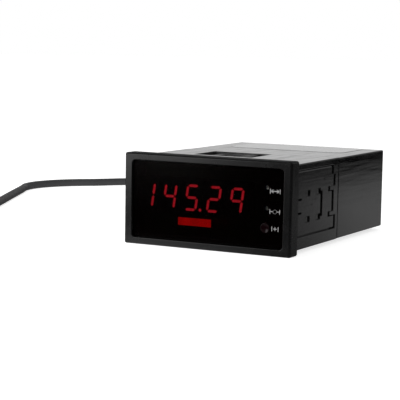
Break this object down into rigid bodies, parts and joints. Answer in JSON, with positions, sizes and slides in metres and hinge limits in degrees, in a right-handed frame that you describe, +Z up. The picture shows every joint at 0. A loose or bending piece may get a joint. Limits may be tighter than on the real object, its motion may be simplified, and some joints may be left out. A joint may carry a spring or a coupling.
{
  "type": "digital panel meter",
  "caption": "Panel-mounted digital meter with a lit numeric display, screwdriver adjusters, a push button, sliding side clamps and a supply lead.",
  "frame": {"origin": "centre of the bezel's back face, where the front seats on its panel", "axes": "+X to the right seen from the front, +Y to the rear along the case, +Z up"},
  "size_m": [0.3045, 0.2817, 0.0482],
  "materials": {
    "bezel_plastic": "black moulded plastic, fine satin texture",
    "window_filter": "dark red filter sheet, glossy",
    "red_film": "dull red film",
    "case_plastic": "black moulded plastic, satin gloss",
    "black_steel": "blackened steel screw",
    "slide_plastic": "black moulded plastic, satin",
    "label_film": "bare satin film",
    "module_resin": "dark grey resin",
    "lit_segment": "lit red resin",
    "unlit_segment": "unlit tinted resin",
    "board_laminate": "green circuit board",
    "black_resin": "moulded black resin",
    "trimmer_blue": "blue moulded resin",
    "brass": "plain brass",
    "white_resin": "white moulded resin",
    "button_plastic": "black moulded plastic, glossy",
    "core_steel": "varnished steel laminations",
    "coil_tape": "amber winding tape",
    "capacitor_sleeve": "blue shrink sleeve",
    "tinned_metal": "tinned metal",
    "fuse_glass": "clear glass tube",
    "terminal_green": "green moulded plastic",
    "gland_nylon": "black nylon",
    "cord_jacket": "grey-black flexible PVC jacket",
    "tie_nylon": "black nylon strap",
    "plug_rubber": "black moulded PVC"
  },
  "bodies": {
    "meter": {"bezel": "bezel_plastic", "window_lens": "window_filter", "legend_strip": "red_film", "sleeve": "case_plastic", "rear_cover": "case_plastic", "rear_panel": "case_plastic", "panel_screws": "black_steel", "rating_label": "label_film", "led_module_1": "module_resin", "led_module_2": "module_resin", "led_module_3": "module_resin", "led_module_4": "module_resin", "led_module_5": "module_resin", "lit_segments_1": "lit_segment", "lit_segments_2": "lit_segment", "lit_segments_3": "lit_segment", "lit_segments_4": "lit_segment", "lit_segments_5": "lit_segment", "dark_segments": "unlit_segment", "display_board": "board_laminate", "board_header": "black_resin", "main_board": "board_laminate", "span_trimmer": "trimmer_blue", "zero_trimmer": "trimmer_blue", "cal_switch": "black_resin", "transformer_core": "core_steel", "transformer_coil": "coil_tape", "filter_capacitor": "capacitor_sleeve", "output_capacitor": "capacitor_sleeve", "regulator": "black_resin", "fuse_clips": "tinned_metal", "fuse": "fuse_glass", "converter_chip": "black_resin", "driver_chip": "black_resin", "terminal_block": "terminal_green", "terminal_screws": "tinned_metal", "cord_gland": "gland_nylon", "gland_nut": "gland_nylon", "cord": "cord_jacket", "cord_tail": "cord_jacket", "cord_coil": "cord_jacket", "coil_tie": "tie_nylon", "plug_body": "plug_rubber", "plug_blades": "brass"},
    "slide_right": {"mounting_slide_right": "slide_plastic"},
    "slide_left": {"mounting_slide_left": "slide_plastic"},
    "button": {"cal_button": "button_plastic", "switch_plunger": "white_resin"},
    "span_adjuster": {"span_screw": "brass"},
    "zero_adjuster": {"zero_screw": "brass"}
  },
  "joints": [
    {"name": "clamp_right", "type": "slide", "parent": "meter", "child": "slide_right", "axis": [0, -1, 0], "range_m": [0, 0.0026]},
    {"name": "clamp_left", "type": "slide", "parent": "meter", "child": "slide_left", "axis": [0, -1, 0], "range_m": [0, 0.0026]},
    {"name": "button_press", "type": "slide", "parent": "meter", "child": "button", "axis": [0, 1, 0], "range_m": [0, 0.0008], "stiffness_N_per_m": 200},
    {"name": "span_turn", "type": "hinge", "parent": "meter", "child": "span_adjuster", "pos_m": [0.0332, -0.0036, 0.0103], "axis": [0, 1, 0], "continuous": true},
    {"name": "zero_turn", "type": "hinge", "parent": "meter", "child": "zero_adjuster", "pos_m": [0.0332, -0.0036, -0.0002], "axis": [0, 1, 0], "continuous": true}
  ]
}
